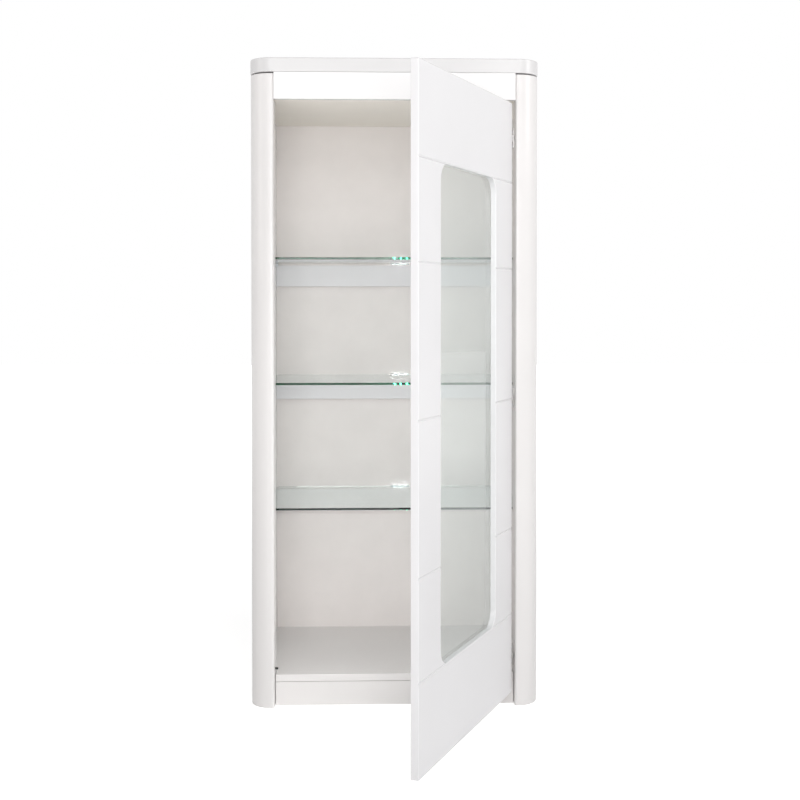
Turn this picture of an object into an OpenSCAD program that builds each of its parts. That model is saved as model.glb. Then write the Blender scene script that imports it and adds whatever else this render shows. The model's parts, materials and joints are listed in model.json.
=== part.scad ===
// Curio cabinet: floor-standing display case with one framed glass door, three glass
// shelves lit by clip-on LED lights, and concealed hinges.
// Origin: on the floor, at mid-width, in the plane of the back. +X right, +Y to the back, +Z up.

/* [Carcass] */
// Width over the two front posts
cab_w = 650; // [540:1:800]
// Depth from the front of the posts to the back
cab_d = 412; // [340:1:500]
// Height from the floor to the top surface
cab_h = 1456; // [1210:1:1760]
// Thickness of each side panel
side_t = 28; // [22:1:34]
// Thickness of the bottom, ceiling, plinths and rails
board_t = 16; // [15:1:20]
// Thickness of the hardboard back
back_t = 3; // [2.5:0.5:4]
// How far the back sits into each side panel
back_lap = 8; // [6:1:12]
// Height of the bottom panel's top surface above the floor
floor_z = 70; // [60:1:100]
// Air between the closed door and the bottom panel and front plinth behind it
toe_air = 2; // [1.5:0.5:10]
// Shadow line between the posts and the ends of the plinth
toe_gap = 1.2; // [0.5:0.1:3]
// Open line between a plinth and the bottom panel
plinth_gap = 0.8; // [0.3:0.1:2]

/* [Front posts] */
// Width of each front post
post_w = 54.5; // [50:0.5:66]
// Depth of each front post
post_d = 50; // [50:1:66]
// Radius of the big outer corner of each post
post_r = 48; // [30:1:49]
// Radius of the small inner corner of each post
post_r_in = 5; // [1:0.5:8]

/* [Top] */
// Thickness of the top panel
top_t = 32; // [25:1:40]
// How far the top stands proud of the posts and sides
top_over = 1; // [0:0.5:10]
// Radius of the top panel's back corners
top_r_back = 3; // [1:1:20]
// Shadow gap between the top panel and the posts, sides and back
top_gap = 3; // [1:0.5:6]
// Height of the rail over the door
fascia_h = 60; // [45:1:80]
// Thickness of the two cleats that carry the top
cleat_t = 16; // [12:1:20]
// Setback of the cleats from the back of the posts
cleat_set = 10; // [2:1:30]

/* [Door] */
// Thickness of the door
door_t = 16; // [16:0.5:23]
// How far the closed door's face sits behind the posts' faces
door_set = 0.5; // [0:0.1:1]
// Gap between the closed door and each post
door_gap = 1.6; // [1:0.1:3]
// Gap between the door and the rail over it
door_gap_top = 7; // [2:0.5:10]
// Height of the door's lower edge above the floor
door_z = 31; // [10:1:50]
// Angle at which the door stands open
door_open = 64.75; // [0:0.25:110]
// Width of the V grooves in the door's face
groove_w = 4.4; // [2:0.2:8]
// Depth of the V grooves
groove_h = 2; // [1:0.1:4]
// Distance from the middle groove to the next one
groove_step = 291; // [200:1:400]

/* [Door window] */
// Width of the window
win_w = 317; // [250:1:390]
// Height of the window, between the two outer grooves
win_h = 968; // [800:1:1040]
// Radius of the window's corners
win_r = 35; // [10:1:60]
// How far the glass laps over the back of the frame
glaze_lap = 8; // [6:0.5:12]
// Thickness of the door glass
pane_t = 4; // [3:0.5:6]
// Gap all round the door glass
pane_gap = 0.5; // [0.2:0.1:1]
// Diameter of the clips that hold the door glass
clip_d = 16; // [12:1:20]
// Thickness of a clip
clip_t = 1.6; // [1:0.1:3]
// How far a clip laps over the glass
clip_lap = 3; // [2:0.5:5]
// Distance from the window's ends to the nearest clip at its side
clip_end = 110; // [60:5:160]

/* [Door stop] */
// Diameter of the door stop
stop_d = 5; // [4:0.5:8]
// How far the stop reaches out of the post
stop_out = 7; // [5:0.5:10]
// How deep the stop sits in the post
stop_in = 10; // [8:1:14]
// Air between the stop and the closed door
stop_gap = 0.6; // [0.3:0.1:2]
// Height of the stop above the bottom panel
stop_up = 14; // [8:1:30]

/* [Shelves] */
// Thickness of a glass shelf
shelf_t = 5; // [4:0.5:8]
// Height of the middle of the lowest shelf's edge
shelf_z = 434; // [350:1:500]
// Distance from one shelf to the next
shelf_step = 289; // [220:1:340]
// Setback of a shelf's front edge from the front of the posts
shelf_front = 75; // [60:1:120]
// Gap behind a shelf, to the back
shelf_back = 9; // [5:1:20]
// Gap at each end of a shelf
shelf_gap = 2; // [1:0.5:4]
// Height of the rail under the back of each shelf
rail_h = 54; // [40:1:80]
// Gap between a rail and the shelf over it
rail_gap = 4; // [3:0.5:8]
// Diameter of a shelf pin's stem
pin_d = 5; // [4:0.5:6]
// How deep the stem sits in the side panel
pin_in = 9; // [7:0.5:12]
// Diameter of a shelf pin's head
pin_head = 7.4; // [6:0.2:10]
// How far the head stands out
pin_out = 8; // [6:0.5:12]
// Setback of the pins from a shelf's front and back edges
pin_set = 38; // [20:1:60]

/* [Shelf lights] */
// Distance of each light from the middle of the cabinet
led_x = 20; // [-60:1:60]
// Length of a light's clip
led_len = 48; // [44:1:70]
// Distance between the diodes
led_step = 15.5; // [10:0.5:20]
// Width of a diode
led_w = 5; // [3:0.5:8]
// Height of a diode
led_h = 3.6; // [2:0.2:4]
// Room for the diodes between the glass and the clip
led_room = 1.8; // [1.2:0.1:3]
// Reach of the clip over the glass
led_reach = 11; // [8:0.5:16]
// Thickness of the clip's walls
led_wall = 1.6; // [1.2:0.1:3]

/* [Hinges] */
// Distance of the outer hinges from the ends of the door
hinge_end = 75; // [60:1:120]
// Pivot line, measured in from the door's edge
pivot_in = 1.4; // [0.5:0.1:2]
// Pivot line, measured out from the door's face
pivot_out = 5; // [4:0.1:6]
// Diameter of the hinge cup
cup_d = 35; // [35:1:36]
// Depth of the hinge cup
cup_h = 11.5; // [11:0.1:12.5]
// Wall of the hinge cup
cup_wall = 1; // [0.8:0.1:1.5]
// Distance from the door's edge to the middle of the cup
cup_in = 22.5; // [21:0.5:24]
// Width of the curved leaves that slide past each other
leaf_w = 7; // [5:0.5:7]
// Thickness of a leaf
leaf_t = 2.4; // [2:0.1:2.6]
// Air between two leaves
leaf_gap = 0.5; // [0.3:0.1:0.6]
// How deep the leaves dip into the cup
leaf_dip = 8.7; // [8:0.1:9.2]
// Air between the leaves and the door's edge
leaf_air = 2; // [1.5:0.1:3]
// Height of the plate on the post
plate_h = 44; // [40:1:52]
// Thickness of the plate
plate_t = 2.2; // [1.8:0.1:2.4]
// Width of the arm on the plate
arm_w = 8.5; // [7:0.5:9]
// Distance between the plate's two screws
plate_pitch = 32; // [30:1:36]
// Distance between the cup's two screws
cup_pitch = 48; // [46:1:52]

/* [Fixings] */
// Diameter of a cam lock
cam_d = 15; // [12:1:15]
// Height of a cam lock
cam_h = 12; // [10:0.5:13]
// Distance from a board's end to the middle of its cam lock
cam_in = 24; // [20:1:34]
// Diameter of a cam pin's body
cam_pin_d = 6.4; // [5:0.1:7]
// Diameter of a cam pin's thread
cam_thread_d = 5; // [4:0.1:6]
// Length of a cam pin's thread, which is screwed into the side panel
cam_thread_len = 11; // [9:0.5:13]
// Diameter of a wooden dowel
dowel_d = 8; // [6:1:8]
// Length of a wooden dowel
dowel_len = 30; // [24:1:36]
// Diameter of the small wood screws
screw_d = 3.2; // [3:0.1:3.5]
// Diameter of their heads
screw_head = 6.4; // [6:0.1:7]
// How deep the small wood screws go into wood
screw_in = 12; // [10:0.5:14]
// How far the screws in the cleats go up into the top panel
top_screw_in = 16; // [10:1:20]
// Free air round anything that sits in a hole
hole_gap = 0.1; // [0.05:0.05:0.3]
// Diameter of a back nail
nail_d = 1.4; // [1.2:0.1:2]
// Diameter of a back nail's head
nail_head = 5; // [4:0.5:6]
// Length of a back nail
nail_len = 15; // [12:1:18]

/* [Hidden] */
$fn = 96;

WHITE = [0.94, 0.93, 0.94];
INNER = [0.86, 0.85, 0.82];
GLASS = [0.62, 0.78, 0.72, 0.45];
STEEL = [0.72, 0.73, 0.75];

// Carcass planes
front_y = -cab_d;
side_x = cab_w / 2 - side_t;
post_x = cab_w / 2 - post_w;
post_back = front_y + post_d;
back_y = -back_t;
top_z = cab_h - top_t;
frame_top = top_z - top_gap;
ceiling_z = top_z - fascia_h;
bottom_z = floor_z - board_t;
plinth_h = bottom_z - plinth_gap;
toe_y = front_y + door_set + door_t + toe_air;
post_round = min(post_r, post_d - 2, post_w - post_r_in - 1);

// Closed door
door_x = post_x - door_gap;
door_y = front_y + door_set;
door_top = ceiling_z - door_gap_top;
door_h = door_top - door_z;
door_mid = (door_top + door_z) / 2;

// Middle of a clip, out from the edge of the glass
clip_off = clip_d / 2 - clip_lap;

// Shelves
shelf_half = side_x - shelf_gap;
shelf_y0 = front_y + shelf_front;
shelf_y1 = back_y - shelf_back;
rail_y = back_y - board_t;
function shelf_mid(i) = shelf_z + i * shelf_step;
function rail_top(i) = shelf_mid(i) - shelf_t / 2 - rail_gap;
pin_ys = [shelf_y0 + pin_set, shelf_y1 - pin_set];

// Hinge pivot line, and the leaves' path round it
pivot = [door_x - pivot_in, door_y - pivot_out];
face_r = pivot_out + door_t;
leaf_r0 = sqrt(face_r * face_r + pivot_in * pivot_in) + leaf_air;
leaf_r1 = leaf_r0 + leaf_w;
leaf_tip = acos((face_r - leaf_dip) / leaf_r0);
leaf_root = -3;
arm_leaf_r = leaf_r1 + 1.5;
cup_x = pivot_in - cup_in;
cup_rim = 1.5;
flange_t = 1;
ear_r = 7;
arm_z = leaf_t / 2 + leaf_gap;
horn_z = arm_z + leaf_t + leaf_gap;
arm_half = horn_z + leaf_t;
plate_x = door_gap + pivot_in;
arm_x = plate_x - plate_t;
arm_screw_set = 3;
plate_y0 = leaf_r1 + 2;
plate_y1 = post_back - 0.5 - pivot[1];
plate_mid = (plate_y0 + plate_y1) / 2;
HINGE_Z = [door_z + hinge_end, door_mid, door_top - hinge_end];

// Fixing positions
cam_ys = [post_back + 30, -50];
dowel_zs = [for (t = [0.06 : 0.22 : 0.94]) frame_top * t];
plinth_xs = [-post_x * 0.6, 0, post_x * 0.6];
cleat_y0 = post_back + cleat_set;
cleat_z0 = ceiling_z + board_t;
cleat_ys = [post_back + 40, -60];
top_screw_grip = 26;
top_screw_head_t = 3;
top_screw_z = top_z - top_screw_grip;

// Heights of the boards between the sides; two nails stand between each board and the next
function rail_mid(i) = rail_top(i) - rail_h / 2;
board_zs = [
    bottom_z + board_t / 2, rail_mid(0), rail_mid(1), rail_mid(2), ceiling_z + board_t / 2
];
nail_zs = concat(
    [board_zs[0], board_zs[4]],
    [for (k = [0 : 3], t = [1 / 3, 2 / 3]) board_zs[k] + t * (board_zs[k + 1] - board_zs[k])]
);
nail_xs = [-side_x * 0.6, -side_x * 0.2, side_x * 0.2, side_x * 0.6];
nail_head_t = 1;

// Screw heads and their cross recess
recess_l = 4;
recess_w = 0.8;
recess_h = 1.2;
side_head_t = 2;
clip_head_t = 1.8;
cup_head_t = 1.6;
clip_screw_in = 9;

// ---- helpers ----

// A rod along +X, +Y or +Z from a point
module rod_x(p, d, l) translate(p) rotate([0, 90, 0]) cylinder(d = d, h = l);
module rod_y(p, d, l) translate(p) rotate([-90, 0, 0]) cylinder(d = d, h = l);
module rod_z(p, d, l) translate(p) cylinder(d = d, h = l);

// A board between two corners
module board(lo, hi) translate(lo) cube(hi - lo);

// A rectangle with round corners, centred
module round_rect(w, h, r) {
    square([w - 2 * r, h], center = true);
    square([w, h - 2 * r], center = true);
    for (sx = [-1, 1], sy = [-1, 1]) translate([sx * (w / 2 - r), sy * (h / 2 - r)]) circle(r);
}

// Turns an outline drawn in X and Z to stand up, its thickness running to +Y
module stand_up(y, t) translate([0, y + t, 0]) rotate([90, 0, 0]) linear_extrude(t) children();

// Both sides of the cabinet
module both() {
    children();
    mirror([1, 0, 0]) children();
}

// Cross slot to cut from a face that looks to -Y or, turned, to any other side
module cross_slot(l, w, h) for (size = [[l, w], [w, l]])
    translate([-size[0] / 2, -h, -size[1] / 2]) cube([size[0], 2 * h, size[1]]);

// Everything on the door, turned about the pivot line from its closed place
module swing(a) translate([pivot[0], pivot[1], 0]) rotate([0, 0, a]) children();
module on_door() swing(door_open) translate([-pivot[0], -pivot[1], 0]) children();

// ---- fixings: each shape has a hole of its own size plus the free air ----

// Cam pin from a side panel into the middle of a cam, on the right-hand side
module cam_pin(y, z, grow = 0) {
    rod_x([side_x - cam_in + 1 - grow, y, z], cam_pin_d + 2 * grow, cam_in - 1 + 2 * grow);
    rod_x([side_x, y, z], cam_thread_d + 2 * grow, cam_thread_len + grow);
}
// Holes for one cam joint in a board that lies flat; the cam goes in from below or above
module flat_cam_hole(y, z0, up) {
    zc = up ? z0 + board_t - cam_h - hole_gap : z0 - 1;
    rod_z([side_x - cam_in, y, zc], cam_d + 2 * hole_gap, cam_h + hole_gap + 1);
    cam_pin(y, z0 + board_t / 2, hole_gap);
}
// The cam itself, with the cross hole that takes the pin
module flat_cam(y, z0, up) {
    zc = up ? z0 + board_t - cam_h : z0;
    difference() {
        rod_z([side_x - cam_in, y, zc], cam_d, cam_h);
        cam_pin(y, z0 + board_t / 2, hole_gap);
        translate([side_x - cam_in, y, up ? zc + cam_h : zc]) rotate([90, 0, 0]) cross_slot(10, 1.6, 1.5);
    }
}
// A cam joint in a board that stands on edge; the cam goes in from the back face
module edge_cam_hole(z, y1) {
    rod_y([side_x - cam_in, y1 - cam_h - hole_gap, z], cam_d + 2 * hole_gap, cam_h + hole_gap + 1);
    cam_pin(y1 - board_t / 2, z, hole_gap);
}
module edge_cam(z, y1) difference() {
    rod_y([side_x - cam_in, y1 - cam_h, z], cam_d, cam_h);
    cam_pin(y1 - board_t / 2, z, hole_gap);
}
// Places of the dowels, as [start, direction]: 0 along Y, 1 along Z
function dowel_list() = concat(
    [for (s = [-1, 1], z = dowel_zs) [[s * (side_x + side_t / 2), post_back - dowel_len / 2, z], 0]],
    [for (x = plinth_xs) [[x, toe_y + board_t / 2, bottom_z - dowel_len + board_t / 2], 1]],
    [for (x = plinth_xs) [[x, -board_t / 2 - back_t, bottom_z - dowel_len + board_t / 2], 1]],
    [for (x = plinth_xs) [[x, front_y + board_t / 2, ceiling_z + board_t / 2], 0]]
);
module dowel(d, grow = 0) {
    if (d[1] == 0) rod_y(d[0] - [0, grow, 0], dowel_d + 2 * grow, dowel_len + 2 * grow);
    else rod_z(d[0] - [0, 0, grow], dowel_d + 2 * grow, dowel_len + 2 * grow);
}
module dowel_holes() for (d = dowel_list()) dowel(d, hole_gap);

// Nail through the back at [x, z], its head flush with the back's outer face
module nail(x, z, grow = 0) {
    rod_y([x, -nail_head_t - grow, z], nail_head + 2 * grow, nail_head_t + 2 * grow);
    rod_y([x, -nail_len - grow, z], nail_d + 2 * grow, nail_len - nail_head_t / 2 + grow);
}
function nail_list() = concat(
    [for (s = [-1, 1], z = nail_zs) [s * (side_x + back_lap / 2), z]],
    [for (x = nail_xs) [x, bottom_z + board_t / 2]],
    [for (x = nail_xs) [x, ceiling_z + board_t / 2]]
);
module nail_holes() for (n = nail_list()) nail(n[0], n[1], hole_gap);

// Screw up through a cleat into the top panel
module top_screw(y, grow = 0) {
    x = side_x - cleat_t / 2;
    translate([x, y, top_screw_z]) {
        rod_z([0, 0, -top_screw_head_t - grow], screw_head + 2 + 2 * grow, top_screw_head_t + 2 * grow);
        rod_z([0, 0, 0], screw_d + 1 + 2 * grow, top_screw_grip + top_screw_in + grow);
    }
}

// ---- carcass ----

module top_panel() color(WHITE) difference() {
    translate([0, 0, top_z]) linear_extrude(top_t) difference() {
        w = cab_w + 2 * top_over;
        r = post_round + top_over;
        y0 = front_y - top_over;
        union() {
            translate([-w / 2, y0 + r]) square([w, -y0 - r - top_r_back]);
            translate([-w / 2 + r, y0]) square([w - 2 * r, r + 1]);
            translate([-w / 2 + top_r_back, -top_r_back - 1]) square([w - 2 * top_r_back, top_r_back + 1]);
            for (s = [-1, 1]) {
                translate([s * (w / 2 - r), y0 + r]) circle(r);
                translate([s * (w / 2 - top_r_back), -top_r_back]) circle(top_r_back);
            }
        }
    }
    both() for (y = cleat_ys) top_screw(y, hole_gap);
}

module top_cleats() color(INNER) both() difference() {
    board([side_x - cleat_t, cleat_y0, cleat_z0], [side_x, rail_y, top_z]);
    for (y = cleat_ys) {
        top_screw(y, hole_gap);
        rod_z([side_x - cleat_t / 2, y, cleat_z0 - 1], screw_head + 4,
            top_screw_z - top_screw_head_t - cleat_z0 + 1.5);
    }
}

module top_screws() color(STEEL) both() for (y = cleat_ys) difference() {
    top_screw(y);
    translate([side_x - cleat_t / 2, y, top_screw_z - top_screw_head_t]) rotate([90, 0, 0])
        cross_slot(recess_l + 0.8, recess_w + 0.2, recess_h);
}

// A board across the inside that reaches forward between the posts
module deck(y0, z0, front_gap) {
    board([-side_x, post_back, z0], [side_x, back_y, z0 + board_t]);
    board([-post_x + front_gap, y0, z0], [post_x - front_gap, post_back + 1, z0 + board_t]);
}

module ceiling_panel() color(INNER) difference() {
    deck(front_y + board_t, ceiling_z, 0);
    both() for (y = cam_ys) flat_cam_hole(y, ceiling_z, true);
    dowel_holes();
    nail_holes();
}

module top_rail() color(WHITE) difference() {
    board([-post_x, front_y, ceiling_z], [post_x, front_y + board_t, top_z]);
    dowel_holes();
}

module side_panel() difference() {
    board([side_x, post_back, 0], [cab_w / 2, 0, frame_top]);
    board([side_x - 1, back_y, bottom_z], [side_x + back_lap, 1, frame_top + 1]);
    for (y = cam_ys) {
        cam_pin(y, bottom_z + board_t / 2, hole_gap);
        cam_pin(y, ceiling_z + board_t / 2, hole_gap);
    }
    for (i = [0 : 2]) cam_pin(rail_y + board_t / 2, rail_mid(i), hole_gap);
    for (i = [0 : 2], y = pin_ys) shelf_pin(y, i, hole_gap);
}
module left_side_panel() color(WHITE) difference() {
    mirror([1, 0, 0]) side_panel();
    dowel_holes();
    nail_holes();
}
module right_side_panel() color(WHITE) difference() {
    side_panel();
    dowel_holes();
    nail_holes();
}

// The right-hand post: a big round on the outer corner and a small one on the inner
module post() linear_extrude(frame_top) {
    translate([post_x, front_y + post_round]) square([post_w, post_d - post_round]);
    translate([post_x + post_r_in, front_y]) square([post_w - post_round - post_r_in, post_round + 1]);
    translate([post_x, front_y + post_r_in]) square([post_r_in + 1, post_round - post_r_in + 1]);
    translate([post_x + post_r_in, front_y + post_r_in]) circle(post_r_in);
    intersection() {
        translate([cab_w / 2 - post_round, front_y + post_round]) circle(post_round);
        translate([cab_w / 2 - post_round - 1, front_y]) square([post_round + 1, post_round + 1]);
    }
}
module left_front_post() color(WHITE) difference() {
    mirror([1, 0, 0]) post();
    dowel_holes();
    door_stop_peg(hole_gap);
}
module right_front_post() color(WHITE) difference() {
    post();
    dowel_holes();
    for (z = HINGE_Z, s = [-1, 1]) swing(0)
        rod_x([plate_x, plate_mid, z + s * plate_pitch / 2], screw_d + 2 * hole_gap, screw_in + hole_gap);
}

module bottom_panel() color(WHITE) difference() {
    deck(toe_y, bottom_z, toe_gap);
    both() for (y = cam_ys) flat_cam_hole(y, bottom_z, false);
    dowel_holes();
    nail_holes();
}

module front_plinth() color(WHITE) difference() {
    board([-post_x + toe_gap, toe_y, 0], [post_x - toe_gap, toe_y + board_t, plinth_h]);
    dowel_holes();
}

module rear_plinth() color(WHITE) difference() {
    board([-side_x, -board_t, 0], [side_x, 0, plinth_h]);
    dowel_holes();
}

module back_panel() color(INNER) difference() {
    board([-side_x - back_lap + 0.5, back_y, bottom_z], [side_x + back_lap - 0.5, 0, frame_top]);
    nail_holes();
}

module back_nails() color(STEEL) for (n = nail_list()) nail(n[0], n[1]);

module shelf_rail(i) color(INNER) difference() {
    board([-side_x, rail_y, rail_top(i) - rail_h], [side_x, back_y, rail_top(i)]);
    both() edge_cam_hole(rail_mid(i), back_y);
}
module lower_shelf_rail() shelf_rail(0);
module middle_shelf_rail() shelf_rail(1);
module upper_shelf_rail() shelf_rail(2);

module cam_locks() color(STEEL) both() {
    for (y = cam_ys) {
        flat_cam(y, bottom_z, false);
        flat_cam(y, ceiling_z, true);
    }
    for (i = [0 : 2]) edge_cam(rail_mid(i), back_y);
}
module cam_pins() color(STEEL) both() {
    for (y = cam_ys) {
        cam_pin(y, bottom_z + board_t / 2);
        cam_pin(y, ceiling_z + board_t / 2);
    }
    for (i = [0 : 2]) cam_pin(rail_y + board_t / 2, rail_mid(i));
}
module wood_dowels() color([0.82, 0.68, 0.48]) for (d = dowel_list()) dowel(d);

// ---- shelves and lights ----

module shelf_pin(y, i, grow = 0) {
    z = shelf_mid(i) - shelf_t / 2 - pin_head / 2;
    rod_x([side_x - 0.01, y, z], pin_d + 2 * grow, pin_in + grow);
    if (grow == 0) rod_x([side_x - pin_out, y, z], pin_head, pin_out);
}
module shelf_pins() color(STEEL) both() for (i = [0 : 2], y = pin_ys) shelf_pin(y, i);

module glass_shelf(i) color(GLASS) translate([0, 0, shelf_mid(i)])
    board([-shelf_half, shelf_y0, -shelf_t / 2], [shelf_half, shelf_y1, shelf_t / 2]);
module lower_glass_shelf() glass_shelf(0);
module middle_glass_shelf() glass_shelf(1);
module upper_glass_shelf() glass_shelf(2);

// A C-shaped clip pushed on the shelf's back edge, with room for the diodes behind the glass
module light_clip(i) color(STEEL) translate([led_x, shelf_y1, shelf_mid(i)]) difference() {
    slot_h = shelf_t / 2 + hole_gap;
    clip_h = slot_h + led_wall;
    board([-led_len / 2, -led_reach, -clip_h], [led_len / 2, led_room + led_wall, clip_h]);
    board([-led_len / 2 - 1, -led_reach - 1, -slot_h], [led_len / 2 + 1, led_room, slot_h]);
}
module lower_light_clip() light_clip(0);
module middle_light_clip() light_clip(1);
module upper_light_clip() light_clip(2);

module light_diodes() color([0.9, 1, 1]) for (i = [0 : 2], k = [-1 : 1])
    translate([led_x + k * led_step, shelf_y1, shelf_mid(i)])
        board([-led_w / 2, hole_gap, -led_h / 2], [led_w / 2, led_room, led_h / 2]);

// ---- door ----

// A rubber peg in the left post, which the door's free edge closes against
module door_stop_peg(grow = 0)
    rod_x([-post_x - stop_in - grow, door_y + door_t + stop_gap + stop_d / 2, floor_z + stop_up],
        stop_d + 2 * grow, stop_in + stop_out + grow);
module door_stop() color([0.2, 0.2, 0.2]) door_stop_peg();

module door_panel() color(WHITE) on_door() difference() {
    board([-door_x, door_y, door_z], [door_x, door_y + door_t, door_top]);
    translate([0, 0, door_mid]) {
        stand_up(door_y - 1, door_t + 2) round_rect(win_w, win_h, win_r);
        stand_up(door_y + door_t - pane_t, pane_t + 1)
            round_rect(win_w + 2 * glaze_lap, win_h + 2 * glaze_lap, win_r + glaze_lap);
        for (z = [-win_h / 2, -groove_step, 0, groove_step, win_h / 2])
            translate([-door_x - 1, door_y, z]) rotate([90, 0, 90]) linear_extrude(2 * door_x + 2)
                polygon([
                    [-1, -groove_w * 0.75], [0, -groove_w / 2], [groove_h, 0],
                    [0, groove_w / 2], [-1, groove_w * 0.75]
                ]);
    }
    for (z = HINGE_Z) translate([pivot[0], pivot[1], z]) {
        rod_y([cup_x, face_r - cup_h - hole_gap, 0], cup_d + 2 * hole_gap, cup_h + 2);
        for (s = [-1, 1])
            rod_y([cup_x, face_r - screw_in + 2, s * cup_pitch / 2], screw_d + 2 * hole_gap, screw_in);
    }
    for (c = clip_places())
        rod_y([c[0], door_y + door_t - clip_screw_in - 1, c[1]], screw_d + 2 * hole_gap, clip_screw_in + 3);
}

module door_glass() color(GLASS) on_door() translate([0, 0, door_mid]) {
    lap = 2 * (glaze_lap - pane_gap);
    stand_up(door_y + door_t - pane_t, pane_t)
        round_rect(win_w + lap, win_h + lap, win_r + glaze_lap - pane_gap);
}

// Clips stand on the frame beside the glass and lap over it: three up each side, one at each end
function clip_places() = concat(
    [for (s = [-1, 1], t = [-1, 0, 1])
        [s * (win_w / 2 + glaze_lap + clip_off), door_mid + t * (win_h / 2 - clip_end)]],
    [for (t = [-1, 1]) [0, door_mid + t * (win_h / 2 + glaze_lap + clip_off)]]
);
module glass_clips() color([0.85, 0.86, 0.87]) on_door() for (c = clip_places()) difference() {
    rod_y([c[0], door_y + door_t, c[1]], clip_d, clip_t);
    rod_y([c[0], door_y + door_t - 1, c[1]], screw_d + 2 * hole_gap, clip_t + 2);
}
module glass_clip_screws() color(STEEL) on_door() for (c = clip_places())
    translate([c[0], door_y + door_t, c[1]]) {
        rod_y([0, -clip_screw_in, 0], screw_d, clip_screw_in + clip_t);
        door_screw_head(clip_t, clip_head_t);
    }

// Head of a screw in the door, its underside at y, with its cross slot to +Y
module door_screw_head(y, t) difference() {
    rod_y([0, y, 0], screw_head, t);
    translate([0, y + t, 0]) cross_slot(recess_l, recess_w, t - 0.8);
}

// ---- hinges: drawn about the pivot line, closed, at height 0 ----

// A curved leaf between two heights, from its root behind the door's edge to its tip in the cup
module leaf(z0, z1, r1 = leaf_r1) rotate([0, 0, 90 + leaf_root])
    rotate_extrude(angle = leaf_tip - leaf_root) translate([leaf_r0, z0]) square([r1 - leaf_r0, z1 - z0]);

module hinge_plate(z) color(STEEL) swing(0) translate([0, 0, z]) difference() {
    board([arm_x, plate_y0, -plate_h / 2], [plate_x, plate_y1, plate_h / 2]);
    for (s = [-1, 1])
        rod_x([arm_x - 1, plate_mid, s * plate_pitch / 2], screw_d + 2 * hole_gap, plate_t + 2);
    rod_x([arm_x - 1, plate_mid, 0], screw_d + 2 * hole_gap, plate_t + 2);
}
module hinge_arm(z) color(STEEL) swing(0) translate([0, 0, z]) difference() {
    union() {
        difference() {
            board([arm_x - arm_w, leaf_r0 + 2, -arm_half], [arm_x, plate_y1, arm_half]);
            rod_z([0, 0, -20], 2 * (leaf_r1 + leaf_gap), 40);
        }
        leaf(arm_z, arm_z + leaf_t, arm_leaf_r);
        leaf(-arm_z - leaf_t, -arm_z, arm_leaf_r);
    }
    rod_x([arm_x - arm_w - 1, plate_mid, 0], screw_d + 2 * hole_gap, arm_w + 2);
    rod_x([arm_x - arm_w - 1, plate_mid, 0], screw_head + 1, arm_screw_set + 1);
}
module hinge_link(z) color([0.62, 0.63, 0.65]) swing(door_open / 2) translate([0, 0, z])
    leaf(-leaf_t / 2, leaf_t / 2);
module hinge_cup(z) color(STEEL) swing(door_open) translate([0, 0, z]) {
    difference() {
        union() {
            rod_y([cup_x, face_r - cup_h, 0], cup_d, cup_h);
            translate([cup_x, 0, 0]) stand_up(face_r, flange_t) {
                circle(d = cup_d + 2 * cup_rim);
                square([2 * ear_r, cup_pitch], center = true);
                for (s = [-1, 1]) translate([0, s * cup_pitch / 2]) circle(ear_r);
            }
        }
        rod_y([cup_x, face_r - cup_h + cup_wall, 0], cup_d - 2 * cup_rim, cup_h + 2);
        for (s = [-1, 1]) rod_y([cup_x, face_r - 1, s * cup_pitch / 2], screw_d + 2 * hole_gap, 3);
    }
    for (s = [-1, 1]) translate([0, 0, s * (horn_z + leaf_t / 2)]) {
        leaf(-leaf_t / 2, leaf_t / 2);
        board([-leaf_r1 * sin(leaf_tip), face_r - cup_h + cup_wall / 2, -leaf_t / 2],
            [-leaf_r0 * sin(leaf_tip) + 2, leaf_r0 * cos(leaf_tip) + 3, leaf_t / 2]);
    }
}
module lower_hinge_plate() hinge_plate(HINGE_Z[0]);
module middle_hinge_plate() hinge_plate(HINGE_Z[1]);
module upper_hinge_plate() hinge_plate(HINGE_Z[2]);
module lower_hinge_arm() hinge_arm(HINGE_Z[0]);
module middle_hinge_arm() hinge_arm(HINGE_Z[1]);
module upper_hinge_arm() hinge_arm(HINGE_Z[2]);
module lower_hinge_link() hinge_link(HINGE_Z[0]);
module middle_hinge_link() hinge_link(HINGE_Z[1]);
module upper_hinge_link() hinge_link(HINGE_Z[2]);
module lower_hinge_cup() hinge_cup(HINGE_Z[0]);
module middle_hinge_cup() hinge_cup(HINGE_Z[1]);
module upper_hinge_cup() hinge_cup(HINGE_Z[2]);

// Pan-head screw along +X with a cross slot; its head's back stands at x
module side_screw(x, y, z, l) difference() {
    union() {
        rod_x([x, y, z], screw_d, l);
        rod_x([x - side_head_t, y, z], screw_head, side_head_t);
    }
    translate([x - side_head_t, y, z]) rotate([0, 0, 90]) cross_slot(recess_l, recess_w, recess_h);
}
module hinge_plate_screws() color(STEEL) swing(0) for (z = HINGE_Z, s = [-1, 1])
    side_screw(arm_x, plate_mid, z + s * plate_pitch / 2, plate_t + screw_in);
module hinge_arm_screws() color(STEEL) swing(0) for (z = HINGE_Z)
    side_screw(arm_x - arm_w + arm_screw_set, plate_mid, z, arm_w - arm_screw_set + plate_t);
module hinge_cup_screws() color(STEEL) swing(door_open) for (z = HINGE_Z, s = [-1, 1])
    translate([cup_x, 0, z + s * cup_pitch / 2]) {
        rod_y([0, face_r - screw_in + 2.5, 0], screw_d, screw_in - 2.5 + flange_t);
        door_screw_head(face_r + flange_t, cup_head_t);
    }

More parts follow.
